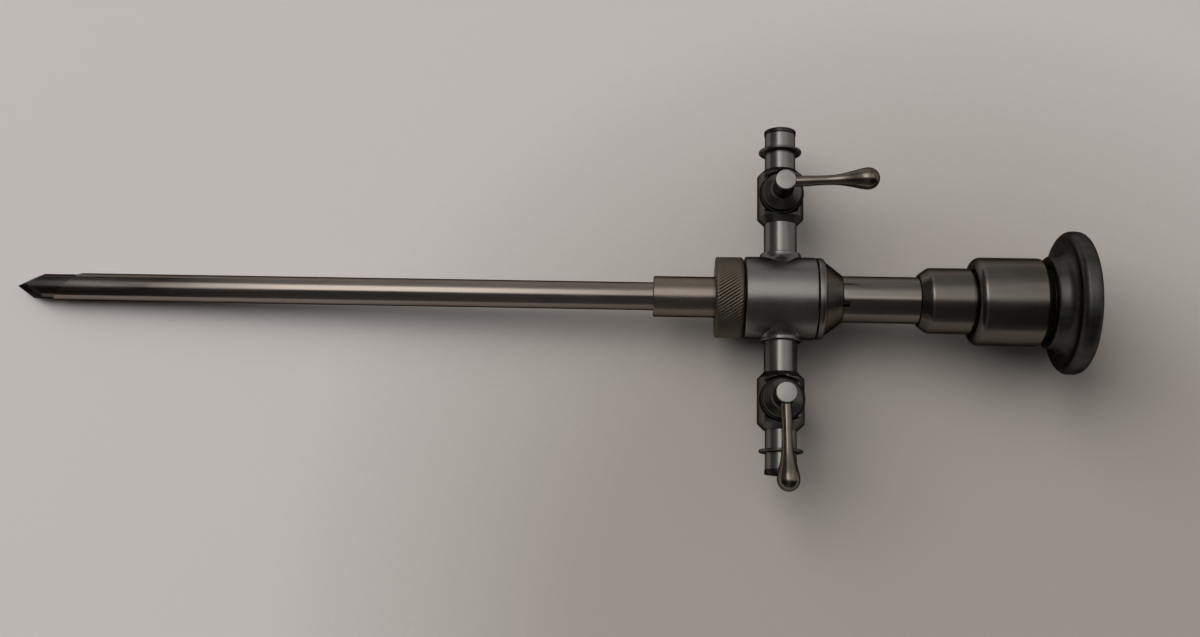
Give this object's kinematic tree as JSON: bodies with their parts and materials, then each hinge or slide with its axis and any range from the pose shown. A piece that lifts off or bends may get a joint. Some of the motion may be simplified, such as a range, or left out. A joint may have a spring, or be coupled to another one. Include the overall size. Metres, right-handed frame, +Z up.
{
  "type": "endoscope sheath",
  "caption": "Slim steel endoscope sheath with trocar-tipped obturator locked in, swivelling irrigation hub, opposed stopcocks with levers, knurled nut and palm knob.",
  "frame": {"origin": "on the working axis, at the collar face where the working tube begins", "axes": "-X along the working tube to the trocar point, +X to the palm knob; the irrigation ports lie along +Y (inflow) and -Y (outflow); +Z up through the stopcock plugs to their levers"},
  "size_m": [0.2294, 0.079, 0.0303],
  "materials": {
    "tube_steel": "polished",
    "hub_steel": "bead-blasted satin",
    "cock_steel": "satin",
    "bright_steel": "polished",
    "handle_steel": "polished",
    "dark_steel": "satin",
    "seal_rubber": "matt"
  },
  "bodies": {
    "sheath": {"sheath_tube": "tube_steel", "shaft_collar": "tube_steel", "sheath_core": "bright_steel", "hub_front_seal": "seal_rubber", "hub_rear_seal": "seal_rubber", "rod_seal": "seal_rubber", "coupling_cone": "handle_steel", "index_pin": "bright_steel"},
    "nut_carrier": {"thrust_washer": "bright_steel"},
    "clamp_nut": {"lock_nut": "tube_steel"},
    "irrigation_block": {"irrigation_hub": "hub_steel", "inflow_neck": "hub_steel", "inflow_cock_body": "cock_steel", "inflow_connector": "hub_steel", "outflow_neck": "hub_steel", "outflow_cock_body": "cock_steel", "outflow_connector": "hub_steel"},
    "inflow_valve": {"inflow_plug": "cock_steel", "inflow_lever": "tube_steel", "inflow_spring_washer": "bright_steel", "inflow_plug_nut": "bright_steel"},
    "outflow_valve": {"outflow_plug": "cock_steel", "outflow_lever": "tube_steel", "outflow_spring_washer": "bright_steel", "outflow_plug_nut": "bright_steel"},
    "obturator": {"trocar_tip": "bright_steel", "obturator_rod": "bright_steel", "coupling_collar": "bright_steel", "snap_ring": "bright_steel", "handle_neck": "handle_steel", "handle_ferrule": "handle_steel", "handle_grip": "handle_steel", "palm_knob": "dark_steel", "knob_stud": "bright_steel"}
  },
  "joints": [
    {"name": "hub_swivel", "type": "hinge", "parent": "sheath", "child": "irrigation_block", "pos_m": [0.02695, 0, 0], "axis": [1, 0, 0], "continuous": true},
    {"name": "inflow_valve_turn", "type": "hinge", "parent": "irrigation_block", "child": "inflow_valve", "pos_m": [0.02695, 0.0221, 0], "axis": [0, 0, 1], "continuous": true},
    {"name": "outflow_valve_turn", "type": "hinge", "parent": "irrigation_block", "child": "outflow_valve", "pos_m": [0.02695, -0.0221, 0], "axis": [0, 0, 1], "continuous": true},
    {"name": "nut_travel", "type": "slide", "parent": "sheath", "child": "nut_carrier", "axis": [-1, 0, 0], "range_m": [0, 0.004]},
    {"name": "nut_turn", "type": "hinge", "parent": "nut_carrier", "child": "clamp_nut", "pos_m": [0.0144, 0, 0], "axis": [-1, 0, 0], "range_deg": [0, 1440]},
    {"name": "obturator_slide", "type": "slide", "parent": "sheath", "child": "obturator", "axis": [1, 0, 0], "range_m": [0, 0.185]}
  ],
  "couplings": [
    {"joint": "nut_travel", "follows": "nut_turn", "m_per_rad": 0.00015915}
  ]
}
